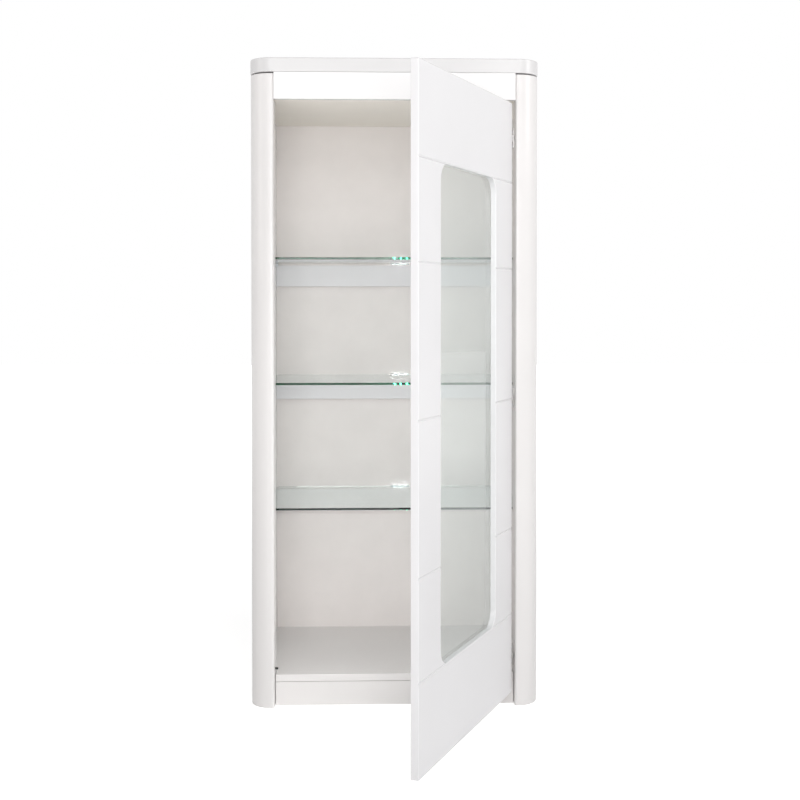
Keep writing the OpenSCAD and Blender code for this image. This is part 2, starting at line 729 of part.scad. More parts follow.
top_panel();
top_cleats();
top_screws();
ceiling_panel();
top_rail();
left_side_panel();
right_side_panel();
left_front_post();
right_front_post();
bottom_panel();
front_plinth();
rear_plinth();
back_panel();
back_nails();
lower_shelf_rail();
middle_shelf_rail();
upper_shelf_rail();
cam_locks();
cam_pins();
wood_dowels();
lower_glass_shelf();
middle_glass_shelf();
upper_glass_shelf();
shelf_pins();
lower_light_clip();
middle_light_clip();
upper_light_clip();
light_diodes();
door_stop();
door_panel();
door_glass();
glass_clips();
glass_clip_screws();
upper_hinge_plate();
middle_hinge_plate();
lower_hinge_plate();
upper_hinge_arm();
middle_hinge_arm();
lower_hinge_arm();
upper_hinge_link();
middle_hinge_link();
lower_hinge_link();
upper_hinge_cup();
middle_hinge_cup();
lower_hinge_cup();
hinge_plate_screws();
hinge_arm_screws();
hinge_cup_screws();
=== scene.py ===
"""Curio cabinet: the looks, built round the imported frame, in the order in which the cabinet goes together."""

import json
import math

import bmesh
import bpy
from mathutils import Matrix, Vector


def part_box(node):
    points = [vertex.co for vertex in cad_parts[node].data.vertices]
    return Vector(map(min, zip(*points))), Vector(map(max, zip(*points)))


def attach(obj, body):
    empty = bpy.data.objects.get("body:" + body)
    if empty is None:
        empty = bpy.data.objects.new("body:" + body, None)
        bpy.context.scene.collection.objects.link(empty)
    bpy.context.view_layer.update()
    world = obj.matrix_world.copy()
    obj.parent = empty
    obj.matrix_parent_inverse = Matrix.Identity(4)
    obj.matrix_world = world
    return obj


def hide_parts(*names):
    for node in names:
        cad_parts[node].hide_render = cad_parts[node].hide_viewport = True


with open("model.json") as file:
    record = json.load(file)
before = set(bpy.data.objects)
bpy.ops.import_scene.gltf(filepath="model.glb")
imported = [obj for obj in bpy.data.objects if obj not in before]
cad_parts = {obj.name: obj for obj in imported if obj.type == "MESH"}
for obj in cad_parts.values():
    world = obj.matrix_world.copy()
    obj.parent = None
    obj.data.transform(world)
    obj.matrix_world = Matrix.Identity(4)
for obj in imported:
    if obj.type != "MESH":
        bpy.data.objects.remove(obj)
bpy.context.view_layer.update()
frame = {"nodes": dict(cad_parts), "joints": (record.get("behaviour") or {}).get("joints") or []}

# ---------------------------------------------------------------------------
# Camera: at chest height, a little left of the middle, looking almost straight in.
# ---------------------------------------------------------------------------
view_from = Vector((-0.04807, -3.03255, 0.91044))
view_down, view_right = 0.0163, 0.0317
camera_data = bpy.data.cameras.new("camera")
camera_data.sensor_width = 36.0
camera_data.lens = 52.68
camera_data.shift_x = -0.0132
camera_data.shift_y = -0.0980
camera = bpy.data.objects.new("camera", camera_data)
camera.location = view_from
camera.rotation_euler = (math.pi / 2 - view_down, 0.0, -view_right)
bpy.context.scene.collection.objects.link(camera)
bpy.context.scene.camera = camera

# ---------------------------------------------------------------------------
# Studio: a white floor that runs out of sight, an even white surround, soft lights from the
# front, the right, the left and overhead, and a weak one in the door opening.
# ---------------------------------------------------------------------------
bpy.context.scene.view_settings.view_transform = "Standard"
bpy.context.scene.view_settings.look = "None"


def plain_material(name, colour, roughness):
    """A material with one Principled shader, and that shader."""
    material = bpy.data.materials.new(name)
    material.use_nodes = True
    shader = material.node_tree.nodes["Principled BSDF"]
    shader.inputs["Base Color"].default_value = (*colour, 1.0)
    shader.inputs["Roughness"].default_value = roughness
    return material, shader


def area_light(name, place, aim, size, power, colour=(1.0, 1.0, 1.0)):
    """A rectangular soft light at place, pointed at aim."""
    data = bpy.data.lights.new(name, "AREA")
    data.shape = "RECTANGLE"
    data.size, data.size_y = size
    data.energy = power
    data.color = colour
    lamp = bpy.data.objects.new(name, data)
    lamp.location = place
    lamp.rotation_euler = (Vector(aim) - Vector(place)).to_track_quat("-Z", "Y").to_euler()
    bpy.context.scene.collection.objects.link(lamp)
    return lamp


floor_mesh = bpy.data.meshes.new("studio_floor")
floor_mesh.from_pydata([(-14, -14, 0), (14, -14, 0), (14, 14, 0), (-14, 14, 0)], [], [(0, 1, 2, 3)])
studio_floor = bpy.data.objects.new("studio_floor", floor_mesh)
floor_finish, floor_shader = plain_material("studio_white", (0.93, 0.93, 0.93), 0.9)
floor_nodes, floor_link = floor_finish.node_tree.nodes, floor_finish.node_tree.links.new
floor_place = floor_nodes.new("ShaderNodeTexCoord")
floor_reach = floor_nodes.new("ShaderNodeVectorMath")
floor_reach.operation = "LENGTH"
floor_glow = floor_nodes.new("ShaderNodeMapRange")
for socket, value in (("From Min", 1.0), ("From Max", 4.5), ("To Min", 0.20), ("To Max", 0.75)):
    floor_glow.inputs[socket].default_value = value
floor_link(floor_place.outputs["Object"], floor_reach.inputs[0])
floor_link(floor_reach.outputs["Value"], floor_glow.inputs["Value"])
floor_seen = floor_nodes.new("ShaderNodeLightPath")
floor_lift = floor_nodes.new("ShaderNodeMath")
floor_lift.operation = "MULTIPLY_ADD"
floor_lift.inputs[1].default_value = 0.32
floor_link(floor_seen.outputs["Is Camera Ray"], floor_lift.inputs[0])
floor_link(floor_glow.outputs["Result"], floor_lift.inputs[2])
floor_link(floor_lift.outputs[0], floor_shader.inputs["Emission Strength"])
floor_shader.inputs["Emission Color"].default_value = (1.0, 1.0, 1.0, 1.0)
floor_mesh.materials.append(floor_finish)
bpy.context.scene.collection.objects.link(studio_floor)

surround = bpy.data.worlds.new("surround")
surround.use_nodes = True
backdrop = surround.node_tree.nodes["Background"]
seen = surround.node_tree.nodes.new("ShaderNodeLightPath")
level = surround.node_tree.nodes.new("ShaderNodeMapRange")
level.inputs["To Min"].default_value = 0.39
level.inputs["To Max"].default_value = 1.0
direct = surround.node_tree.nodes.new("ShaderNodeMath")
direct.operation, direct.use_clamp = "ADD", True
surround.node_tree.links.new(seen.outputs["Is Camera Ray"], direct.inputs[0])
surround.node_tree.links.new(seen.outputs["Is Glossy Ray"], direct.inputs[1])
surround.node_tree.links.new(direct.outputs[0], level.inputs["Value"])
surround.node_tree.links.new(level.outputs["Result"], backdrop.inputs["Strength"])
backdrop.inputs["Color"].default_value = (1.0, 1.0, 1.0, 1.0)
bpy.context.scene.world = surround
area_light("front", (-0.05, -3.5, 1.15), (0.0, -0.3, 0.85), (1.5, 1.0), 24.0)
area_light("inside", (0.0, -0.43, 0.72), (0.0, 0.0, 0.72), (0.5, 1.24), 0.6)
area_light("right", (3.0, -1.9, 2.7), (0.0, -0.5, 1.2), (1.4, 2.0), 33.0)
area_light("left", (-3.0, -1.7, 1.9), (0.0, -0.4, 1.1), (1.2, 1.6), 7.0, (1.0, 0.94, 0.90))
area_light("overhead", (0.3, -3.6, 2.5), (0.0, -0.3, 0.9), (3.0, 1.2), 27.0)

# ---------------------------------------------------------------------------
# Front posts: solid fibreboard, the outer front corner turned to a big round, sprayed with
# satin white lacquer, standing on the floor and dowelled to the side panels behind them.
# ---------------------------------------------------------------------------
MM = 0.001
LACQUER = (0.72, 0.70, 0.692)


def nodes_of(material):
    """The node tree's parts that every finish needs: tree, nodes, link maker and object coordinates."""
    tree = material.node_tree
    place = tree.nodes.new("ShaderNodeTexCoord")
    return tree, tree.nodes, tree.links.new, place.outputs["Object"]


def mottled(material, shader, colour, spread, scale, detail=2.0):
    """Colours the shader with a cloudy variation of colour, spread up and down by a share."""
    tree, nodes, link, place = nodes_of(material)
    cloud = nodes.new("ShaderNodeTexNoise")
    cloud.inputs["Scale"].default_value = scale
    cloud.inputs["Detail"].default_value = detail
    ramp = nodes.new("ShaderNodeValToRGB")
    for end, share in ((0, 1 - spread), (1, 1 + spread)):
        ramp.color_ramp.elements[end].position = 0.3 + 0.4 * end
        ramp.color_ramp.elements[end].color = (*[min(c * share, 1.0) for c in colour], 1.0)
    link(place, cloud.inputs["Vector"])
    link(cloud.outputs["Fac"], ramp.inputs["Fac"])
    link(ramp.outputs["Color"], shader.inputs["Base Color"])


def pebbled(material, shader, scale, height, strength=0.2, stretch=(1.0, 1.0, 1.0)):
    """Gives the shader a fine uneven surface, with grains 1 / scale metres apart."""
    tree, nodes, link, place = nodes_of(material)
    mapping = nodes.new("ShaderNodeMapping")
    mapping.inputs["Scale"].default_value = stretch
    grain = nodes.new("ShaderNodeTexNoise")
    grain.inputs["Scale"].default_value = scale
    grain.inputs["Detail"].default_value = 3.0
    bump = nodes.new("ShaderNodeBump")
    bump.inputs["Strength"].default_value = strength
    bump.inputs["Distance"].default_value = height
    link(place, mapping.inputs["Vector"])
    link(mapping.outputs["Vector"], grain.inputs["Vector"])
    link(grain.outputs["Fac"], bump.inputs["Height"])
    link(bump.outputs["Normal"], shader.inputs["Normal"])


def lacquer(name, colour=LACQUER, roughness=0.32, coat=0.25):
    """Sprayed satin lacquer on fibreboard, with the faint orange peel of the spray gun."""
    material, shader = plain_material(name, colour, roughness)
    shader.inputs["Coat Weight"].default_value = coat
    shader.inputs["Coat Roughness"].default_value = 0.12
    mottled(material, shader, colour, 0.012, 5.0)
    pebbled(material, shader, 420.0, 0.00025)
    return material


def corner_outline(u0, u1, v0, v1, radii, inset, steps):
    """A rectangle's outline with its own radius at each corner, drawn in by inset."""
    corners = ((u1, v0, -90, -1, 1), (u1, v1, 0, -1, -1), (u0, v1, 90, 1, -1), (u0, v0, 180, 1, 1))
    points = []
    for (u, v, turn, su, sv), radius in zip(corners, radii):
        for k in range(steps + 1):
            angle = math.radians(turn + 90.0 * k / steps)
            reach = radius - inset
            across, up = reach * math.cos(angle), reach * math.sin(angle)
            points.append((u + su * radius + across, v + sv * radius + up))
    return points


def lofted(name, rings):
    """A closed solid skinned over rings that all have the same number of points."""
    mesh = bpy.data.meshes.new(name)
    count = len(rings[0])
    faces = [list(range(count))[::-1], [(len(rings) - 1) * count + k for k in range(count)]]
    for r in range(len(rings) - 1):
        for k in range(count):
            a, b = r * count + k, r * count + (k + 1) % count
            faces.append([a, b, b + count, a + count])
    mesh.from_pydata([p for ring in rings for p in ring], [], faces)
    shape = bmesh.new()
    shape.from_mesh(mesh)
    bmesh.ops.remove_doubles(shape, verts=shape.verts, dist=1e-6)
    bmesh.ops.dissolve_degenerate(shape, edges=shape.edges, dist=1e-6)
    bmesh.ops.recalc_face_normals(shape, faces=shape.faces)
    shape.to_mesh(mesh)
    shape.free()
    piece = bpy.data.objects.new(name, mesh)
    bpy.context.scene.collection.objects.link(piece)
    return piece


def slab(name, lo, hi, along, radii=None, edge=1.0 * MM, edge_end=None, steps=8):
    """A board between two corners. along is the axis through its thickness; radii round the four
    corners of its outline, and edge and edge_end round its two faces' rims."""
    across = [a for a in range(3) if a != along]
    radii = [max(r, edge, edge_end or 0.0) for r in (radii or (edge,) * 4)]
    rims = (edge, edge if edge_end is None else edge_end)
    rings = []
    for end, rim in enumerate(rims):
        turns = [math.pi / 2 * k / 4 for k in range(5)] if rim else [math.pi / 2]
        for turn in turns if end == 0 else turns[::-1]:
            inset, depth = rim * (1 - math.sin(turn)), rim * (1 - math.cos(turn))
            level = lo[along] + depth if end == 0 else hi[along] - depth
            outline = corner_outline(
                lo[across[0]], hi[across[0]], lo[across[1]], hi[across[1]], radii, inset, steps
            )
            ring = []
            for u, v in outline:
                point = [0.0, 0.0, 0.0]
                point[across[0]], point[across[1]], point[along] = u, v, level
                ring.append(point)
            rings.append(ring)
    return lofted(name, rings)


def settle(piece):
    """Works a piece's modifiers into its mesh."""
    graph = bpy.context.evaluated_depsgraph_get()
    mesh = bpy.data.meshes.new_from_object(piece.evaluated_get(graph))
    mesh.name = piece.name
    piece.modifiers.clear()
    piece.data = mesh


def cut(piece, tool, how="DIFFERENCE"):
    """Cuts a tool's shape out of a piece, or joins it on, and throws the tool away."""
    step = piece.modifiers.new("cut", "BOOLEAN")
    step.operation = how
    step.object = tool
    step.solver = "EXACT"
    settle(piece)
    bpy.data.objects.remove(tool, do_unlink=True)


def shade(piece, sharp=32.0):
    """Smooth shading that stays crisp at edges sharper than the angle and flat on flat faces."""
    piece.data.polygons.foreach_set("use_smooth", [True] * len(piece.data.polygons))
    piece.data.set_sharp_from_angle(angle=math.radians(sharp))
    step = piece.modifiers.new("flat_faces_stay_flat", "WEIGHTED_NORMAL")
    step.keep_sharp = True
    settle(piece)


def fit_on(piece, material, body, slot, *nodes):
    """Finishes a piece: its material, the body that it rides on and the nodes it stands for. The slot argument
    is not used.
    """
    shade(piece)
    piece.data.materials.clear()
    piece.data.materials.append(material)
    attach(piece, body)
    if nodes:
        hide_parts(*nodes)


post_lacquer = lacquer("post_lacquer")
POST_ROUND, POST_INNER = 48 * MM, 5 * MM
for side, node in ((-1, "left_front_post"), (1, "right_front_post")):
    lo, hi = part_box(node)
    soft = 1.0 * MM
    radii = (POST_ROUND, soft, soft, POST_INNER) if side > 0 else (POST_INNER, soft, soft, POST_ROUND)
    post = slab(node + "_lacquered", lo, hi, 2, radii, edge=0.8 * MM, steps=20)
    fit_on(post, post_lacquer, "cabinet", "white_lacquer", node)

# ---------------------------------------------------------------------------
# Side panels: thick fibreboard boards behind the posts, lacquered outside and in, with a
# rebate down the back for the hardboard. The visible board keeps the frame's rebate.
# ---------------------------------------------------------------------------
side_lacquer = lacquer("side_lacquer")
BACK_LAP = 8 * MM
for side, node in ((-1, "left_side_panel"), (1, "right_side_panel")):
    lo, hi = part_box(node)
    panel = slab(node + "_lacquered", lo, hi, 0, edge=0.8 * MM)
    back_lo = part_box("back_panel")[0]
    inner = hi.x if side < 0 else lo.x
    rebate_lo = Vector((min(inner, inner + side * BACK_LAP), back_lo.y, back_lo.z))
    rebate_hi = Vector((max(inner, inner + side * BACK_LAP), 0.01, hi.z + 0.01))
    rebate_lo.x -= 0.01 if side > 0 else 0.0
    rebate_hi.x += 0.01 if side < 0 else 0.0
    cut(panel, slab("rebate", rebate_lo, rebate_hi, 2, edge=0.0))
    fit_on(panel, side_lacquer, "cabinet", "white_lacquer", node)

# ---------------------------------------------------------------------------
# Bottom panel and plinths: the bottom reaches forward between the posts over a lacquered
# front plinth, and a rear plinth stands under its back edge.
# ---------------------------------------------------------------------------
base_lacquer = lacquer("base_lacquer", (0.745, 0.722, 0.712), 0.36)


def deck(name, node, post_node, gap):
    """A board that is full width behind the posts and narrower between them."""
    lo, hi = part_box(node)
    post_lo, post_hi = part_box(post_node)
    wide = slab(name, Vector((lo.x, post_hi.y, lo.z)), hi, 2, edge=0.8 * MM)
    inner = post_lo.x - gap
    tongue_lo, tongue_hi = Vector((-inner, lo.y, lo.z)), Vector((inner, post_hi.y + 0.02, hi.z))
    tongue = slab("tongue", tongue_lo, tongue_hi, 2, edge=0.8 * MM)
    cut(wide, tongue, "UNION")
    return wide


TOE_GAP = 1.2 * MM
bottom = deck("bottom_panel_lacquered", "bottom_panel", "right_front_post", TOE_GAP)
cam_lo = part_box("cam_locks")[0]
CAM_HOLE, CAM_IN = 15.2 * MM, 24 * MM
bottom_lo, bottom_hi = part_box("bottom_panel")
for x in (bottom_lo.x + CAM_IN, bottom_hi.x - CAM_IN):
    for y in (cam_lo.y + 7.5 * MM, -50 * MM):
        half = CAM_HOLE / 2
        hole_lo = Vector((x - half, y - half, bottom_lo.z - 0.01))
        hole_hi = Vector((x + half, y + half, bottom_lo.z + 12.1 * MM))
        cut(bottom, slab("cam_hole", hole_lo, hole_hi, 2, (half,) * 4, edge=0.0))
fit_on(bottom, base_lacquer, "cabinet", "white_lacquer", "bottom_panel")
for node in ("front_plinth", "rear_plinth"):
    plinth = slab(node + "_lacquered", *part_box(node), 1, edge=0.8 * MM)
    fit_on(plinth, base_lacquer, "cabinet", "white_lacquer", node)

# ---------------------------------------------------------------------------
# Ceiling panel, rail over the door and the top: the ceiling is faced in matt white foil, the rail and the thick
# top are lacquered, the rail's lacquer made lighter as a painted highlight and the top's darker as painted
# shade. The top rests on two cleats and stands clear of the posts by a shadow gap.
# ---------------------------------------------------------------------------
FOIL = (0.93, 0.88, 0.81)


def foil(name, colour=FOIL, roughness=0.5):
    """Matt white decor foil with a fine pore."""
    material, shader = plain_material(name, colour, roughness)
    mottled(material, shader, colour, 0.015, 8.0)
    pebbled(material, shader, 900.0, 0.0002, 0.25, (1.0, 1.0, 0.35))
    return material


inner_foil = foil("inner_foil")
ceiling = deck("ceiling_panel_foiled", "ceiling_panel", "right_front_post", 0.0)
fit_on(ceiling, inner_foil, "cabinet", "white_interior", "ceiling_panel")
rail = slab("top_rail_lacquered", *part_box("top_rail"), 1, edge=1.0 * MM)
# The rail's lacquer is a lighter copy of the white lacquer: a painted highlight for the light that its glossy
# face reflects.
rail_lacquer_painted_highlight = lacquer("rail_lacquer_painted_highlight", (0.79, 0.78, 0.78), 0.24)
fit_on(rail, rail_lacquer_painted_highlight, "cabinet", "white_lacquer", "top_rail")
top_lo, top_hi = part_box("top_panel")
top_radii = (POST_ROUND + MM, 3 * MM, 3 * MM, POST_ROUND + MM)
top = slab("top_panel_lacquered", top_lo, top_hi, 2, top_radii, edge=2.2 * MM, steps=24)
# The top's lacquer is a darker copy of the white lacquer: painted shade across the whole top.
fit_on(top, lacquer("top_lacquer_painted_shade", (0.645, 0.635, 0.635), 0.28), "cabinet", "white_lacquer", "top_panel")


def dress(material, *nodes):
    """Gives CAD nodes a material, and keeps their own shape."""
    for node in nodes:
        mesh = frame["nodes"][node].data
        mesh.materials.clear()
        mesh.materials.append(material)


dress(inner_foil, "top_cleats")

# ---------------------------------------------------------------------------
# Back panel, shelf rails and hidden fixings: white-faced hardboard nailed into the rebate,
# foiled rails cam-locked between the sides, zinc cams, plated pins and beech dowels.
# ---------------------------------------------------------------------------
hardboard, hardboard_shader = plain_material("white_hardboard", (0.85, 0.805, 0.785), 0.55)
mottled(hardboard, hardboard_shader, (0.85, 0.805, 0.785), 0.02, 14.0, 4.0)
pebbled(hardboard, hardboard_shader, 700.0, 0.0003, 0.3)
dress(hardboard, "back_panel")
rail_foil = foil("rail_foil", (0.80, 0.785, 0.80))
for node in ("lower_shelf_rail", "middle_shelf_rail", "upper_shelf_rail"):
    shelf_rail = slab(node + "_foiled", *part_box(node), 1, edge=0.8 * MM)
    fit_on(shelf_rail, rail_foil, "cabinet", "white_interior", node)


def metal(name, colour, roughness, grain=0.0):
    """A plated or cast metal with a faintly uneven finish."""
    material, shader = plain_material(name, colour, roughness)
    shader.inputs["Metallic"].default_value = 1.0
    mottled(material, shader, colour, 0.05, 60.0, 4.0)
    pebbled(material, shader, 1500.0, 0.00012, 0.15 + grain)
    return material


plated = metal("zinc_plating", (0.62, 0.63, 0.66), 0.32)
cast_zinc = metal("cast_zinc", (0.50, 0.50, 0.52), 0.5, 0.3)
beech, beech_shader = plain_material("beech", (0.62, 0.44, 0.27), 0.6)
mottled(beech, beech_shader, (0.62, 0.44, 0.27), 0.15, 90.0, 5.0)
pebbled(beech, beech_shader, 300.0, 0.0003, 0.4)


def turned_tree(name, stations, segments, threads=0, slotted=False, flutes=0):
    """A geometry tree that turns a shape through stations, each a name with a radius and a height,
    and sets one on every point. Threads are ridges between the stations "Thread foot" and "Thread head"."""
    tree = bpy.data.node_groups.new(name, "GeometryNodeTree")
    add, link = tree.nodes.new, tree.links.new
    tree.interface.new_socket("Points", in_out="INPUT", socket_type="NodeSocketGeometry")
    labels = [f"{station} {side}" for station in stations for side in ("radius", "height")]
    labels += ["Thread depth"] * bool(threads) + ["Flute depth"] * bool(flutes)
    labels += ["Slot length", "Slot width", "Slot depth"] * slotted
    for label in labels + ["Turn spread"]:
        tree.interface.new_socket(label, in_out="INPUT", socket_type="NodeSocketFloat")
    tree.interface.new_socket("Seed", in_out="INPUT", socket_type="NodeSocketInt")
    tree.interface.new_socket("Finish", in_out="INPUT", socket_type="NodeSocketMaterial")
    tree.interface.new_socket("Pieces", in_out="OUTPUT", socket_type="NodeSocketGeometry")
    given = add("NodeGroupInput").outputs

    def sum_of(how, a, b):
        step = add("ShaderNodeMath")
        step.operation = how
        for socket, value in zip(step.inputs, (a, b)):
            if isinstance(value, (int, float)):
                socket.default_value = value
            elif value is not None:
                link(value, socket)
        return step.outputs[0]

    def moved(mesh, height):
        shift, step = add("ShaderNodeCombineXYZ"), add("GeometryNodeTransform")
        link(height, shift.inputs["Z"])
        link(mesh, step.inputs["Geometry"])
        link(shift.outputs[0], step.inputs["Translation"])
        return step.outputs["Geometry"]

    def band(low_radius, high_radius, low, high):
        cone = add("GeometryNodeMeshCone")
        cone.fill_type = "NONE"
        cone.inputs["Vertices"].default_value = segments
        link(low_radius, cone.inputs["Radius Bottom"])
        link(high_radius, cone.inputs["Radius Top"])
        link(sum_of("SUBTRACT", high, low), cone.inputs["Depth"])
        return moved(cone.outputs["Mesh"], low)

    def joined(meshes):
        step = add("GeometryNodeJoinGeometry")
        for mesh in meshes:
            link(mesh, step.inputs[0])
        return step.outputs[0]

    bands = []
    for low, high in zip(stations, stations[1:]):
        low_radius, low_z = given[f"{low} radius"], given[f"{low} height"]
        high_radius, high_z = given[f"{high} radius"], given[f"{high} height"]
        if (low, high) != ("Thread foot", "Thread head"):
            bands.append(band(low_radius, high_radius, low_z, high_z))
            continue
        pitch = sum_of("DIVIDE", sum_of("SUBTRACT", high_z, low_z), threads)
        crest = sum_of("ADD", low_radius, given["Thread depth"])
        half = sum_of("MULTIPLY", pitch, 0.5)
        zero = sum_of("MULTIPLY", pitch, 0.0)
        ridge = joined([band(low_radius, crest, zero, half), band(crest, low_radius, half, pitch)])
        row = add("GeometryNodeMeshLine")
        start = add("ShaderNodeCombineXYZ")
        gap = add("ShaderNodeCombineXYZ")
        row.inputs["Count"].default_value = threads
        link(low_z, start.inputs["Z"])
        link(pitch, gap.inputs["Z"])
        link(start.outputs[0], row.inputs["Start Location"])
        link(gap.outputs[0], row.inputs["Offset"])
        ridges, whole = add("GeometryNodeInstanceOnPoints"), add("GeometryNodeRealizeInstances")
        link(row.outputs["Mesh"], ridges.inputs["Points"])
        link(ridge, ridges.inputs["Instance"])
        link(ridges.outputs[0], whole.inputs[0])
        bands.append(whole.outputs[0])
    weld = add("GeometryNodeMergeByDistance")
    weld.inputs["Distance"].default_value = 0.000002
    link(joined(bands), weld.inputs["Geometry"])
    shape = weld.outputs[0]
    if flutes:
        place, parts = add("GeometryNodeInputPosition"), add("ShaderNodeSeparateXYZ")
        link(place.outputs[0], parts.inputs[0])
        angle = sum_of("ARCTAN2", parts.outputs["Y"], parts.outputs["X"])
        wave = sum_of("COSINE", sum_of("MULTIPLY", angle, flutes), None)
        dip = sum_of("MULTIPLY", sum_of("SUBTRACT", wave, 1.0), given["Flute depth"])
        share = sum_of("ADD", dip, 1.0)
        new_place, step = add("ShaderNodeCombineXYZ"), add("GeometryNodeSetPosition")
        link(sum_of("MULTIPLY", parts.outputs["X"], share), new_place.inputs["X"])
        link(sum_of("MULTIPLY", parts.outputs["Y"], share), new_place.inputs["Y"])
        link(parts.outputs["Z"], new_place.inputs["Z"])
        link(shape, step.inputs["Geometry"])
        link(new_place.outputs[0], step.inputs["Position"])
        shape = step.outputs[0]
    tools = []
    if slotted:
        for length, width in (("Slot length", "Slot width"), ("Slot width", "Slot length")):
            size, bar = add("ShaderNodeCombineXYZ"), add("GeometryNodeMeshCube")
            link(given[length], size.inputs["X"])
            link(given[width], size.inputs["Y"])
            link(sum_of("MULTIPLY", given["Slot depth"], 2.0), size.inputs["Z"])
            link(size.outputs[0], bar.inputs["Size"])
            tools.append(moved(bar.outputs["Mesh"], given[f"{stations[-1]} height"]))
    if tools:
        cutter, again = add("GeometryNodeMeshBoolean"), add("GeometryNodeMergeByDistance")
        cutter.operation, cutter.solver = "DIFFERENCE", "EXACT"
        link(shape, cutter.inputs["Mesh 1"])
        for tool in tools:
            link(tool, cutter.inputs["Mesh 2"])
        again.inputs["Distance"].default_value = 0.000004
        link(cutter.outputs["Mesh"], again.inputs["Geometry"])
        shape = again.outputs[0]
    facing = add("GeometryNodeInputNamedAttribute")
    chance = add("FunctionNodeRandomValue")
    twist = add("ShaderNodeCombineXYZ")
    facing.data_type = "FLOAT_VECTOR"
    facing.inputs["Name"].default_value = "facing"
    link(given["Turn spread"], chance.inputs[3])
    link(given["Seed"], chance.inputs["Seed"])
    link(chance.outputs[1], twist.inputs["Z"])
    turning = add("FunctionNodeRotateEuler")
    turning.space = "LOCAL"
    link(facing.outputs["Attribute"], turning.inputs["Rotation"])
    link(twist.outputs[0], turning.inputs["Rotate By"])
    spread = add("GeometryNodeInstanceOnPoints")
    whole = add("GeometryNodeRealizeInstances")
    coat = add("GeometryNodeSetMaterial")
    link(given["Points"], spread.inputs["Points"])
    link(shape, spread.inputs["Instance"])
    link(turning.outputs[0], spread.inputs["Rotation"])
    link(spread.outputs[0], whole.inputs[0])
    link(whole.outputs[0], coat.inputs["Geometry"])
    link(given["Finish"], coat.inputs["Material"])
    link(coat.outputs[0], add("NodeGroupOutput").inputs[0])
    return tree


def solids_of(node, turn=Matrix.Identity(4)):
    """The lowest and highest corners of each separate solid in a CAD node, after a turn."""
    shape = bmesh.new()
    shape.from_mesh(frame["nodes"][node].data)
    bmesh.ops.remove_doubles(shape, verts=shape.verts, dist=1e-6)
    shape.transform(turn)
    left, boxes = set(shape.verts), []
    while left:
        queue = [left.pop()]
        found = list(queue)
        while queue:
            near = [e.other_vert(v) for v in [queue.pop()] for e in v.link_edges]
            fresh = [v for v in near if v in left]
            left.difference_update(fresh)
            queue += fresh
            found += fresh
        boxes.append((Vector([min(v.co[a] for v in found) for a in range(3)]),
                      Vector([max(v.co[a] for v in found) for a in range(3)])))
    shape.free()
    return sorted(boxes, key=lambda box: [round(c, 5) for c in box[0]])


def turned(name, spots, stations, material, segments=20, threads=0, slot=None, flutes=0,
           thread_depth=0.0, flute_depth=0.0, spread=2 * math.pi, seed=3):
    """Turned pieces alike, one at each spot: a foot and the way that the piece points from it."""
    tree = turned_tree(name, [s[0] for s in stations], segments, threads, bool(slot), flutes)
    mesh = bpy.data.meshes.new(name)
    mesh.from_pydata([spot for spot, _ in spots], [], [])
    facing = mesh.attributes.new("facing", "FLOAT_VECTOR", "POINT")
    for value, (_, way) in zip(facing.data, spots):
        value.vector = Vector(way).to_track_quat("Z", "X").to_euler()
    piece = bpy.data.objects.new(name, mesh)
    bpy.context.scene.collection.objects.link(piece)
    step = piece.modifiers.new("turned", "NODES")
    values = {f"{s[0]} radius": s[1] for s in stations} | {f"{s[0]} height": s[2] for s in stations}
    values |= {"Thread depth": thread_depth, "Flute depth": flute_depth, "Turn spread": spread, "Seed": seed}
    values |= dict(zip(("Slot length", "Slot width", "Slot depth"), slot or ()))
    values["Finish"] = material
    step.node_group = tree
    for socket in tree.interface.items_tree:
        if socket.in_out == "INPUT" and socket.name in values:
            step[socket.identifier] = values[socket.name]
    settle(piece)
    shape = bmesh.new()
    shape.from_mesh(piece.data)
    bmesh.ops.recalc_face_normals(shape, faces=shape.faces)
    shape.to_mesh(piece.data)
    shape.free()
    for extra in [a.name for a in piece.data.attributes if a.name == "facing"]:
        piece.data.attributes.remove(piece.data.attributes[extra])
    return piece


def ends(boxes, axis, way):
    """Where each solid starts and the way it points, along an axis, up (1) or down (-1)."""
    spots = []
    for lo, hi in boxes:
        foot, pointing = (lo + hi) / 2, [0, 0, 0]
        foot[axis] = lo[axis] if way > 0 else hi[axis]
        pointing[axis] = way
        spots.append((foot, pointing))
    return spots


def screw_stations(length, shank, head, head_h, thread_share=0.72):
    """A wood screw from its point to the crown of its pan head."""
    core = shank * 0.36
    shaft = length - head_h
    return [
        ("Point", 0.0, 0.0), ("Thread foot", core, shank * 0.8), ("Thread head", core, shaft * thread_share),
        ("Neck", shank / 2, shaft * thread_share + 0.4 * MM), ("Underside", shank / 2, shaft),
        ("Rim", head / 2, shaft), ("Shoulder", head / 2, shaft + head_h * 0.45),
        ("Crown edge", head * 0.40, shaft + head_h * 0.86), ("Crown", head * 0.22, length),
        ("Top", 0.0, length)
    ]


def screws(name, node, axis, way, body, shank, head, head_h, threads=9, turn=Matrix.Identity(4), back=None):
    """Stands screws with a cross slot in for the ones that a CAD node holds."""
    boxes = solids_of(node, turn)
    length = boxes[0][1][axis] - boxes[0][0][axis]
    piece = turned(
        name, ends(boxes, axis, way), screw_stations(length, shank, head, head_h), plated, threads=threads,
        thread_depth=shank * 0.14, slot=(head * 0.62, head * 0.13, head_h * 0.55)
    )
    if back:
        piece.data.transform(back)
    fit_on(piece, plated, body, "plated_steel", node)
    return piece


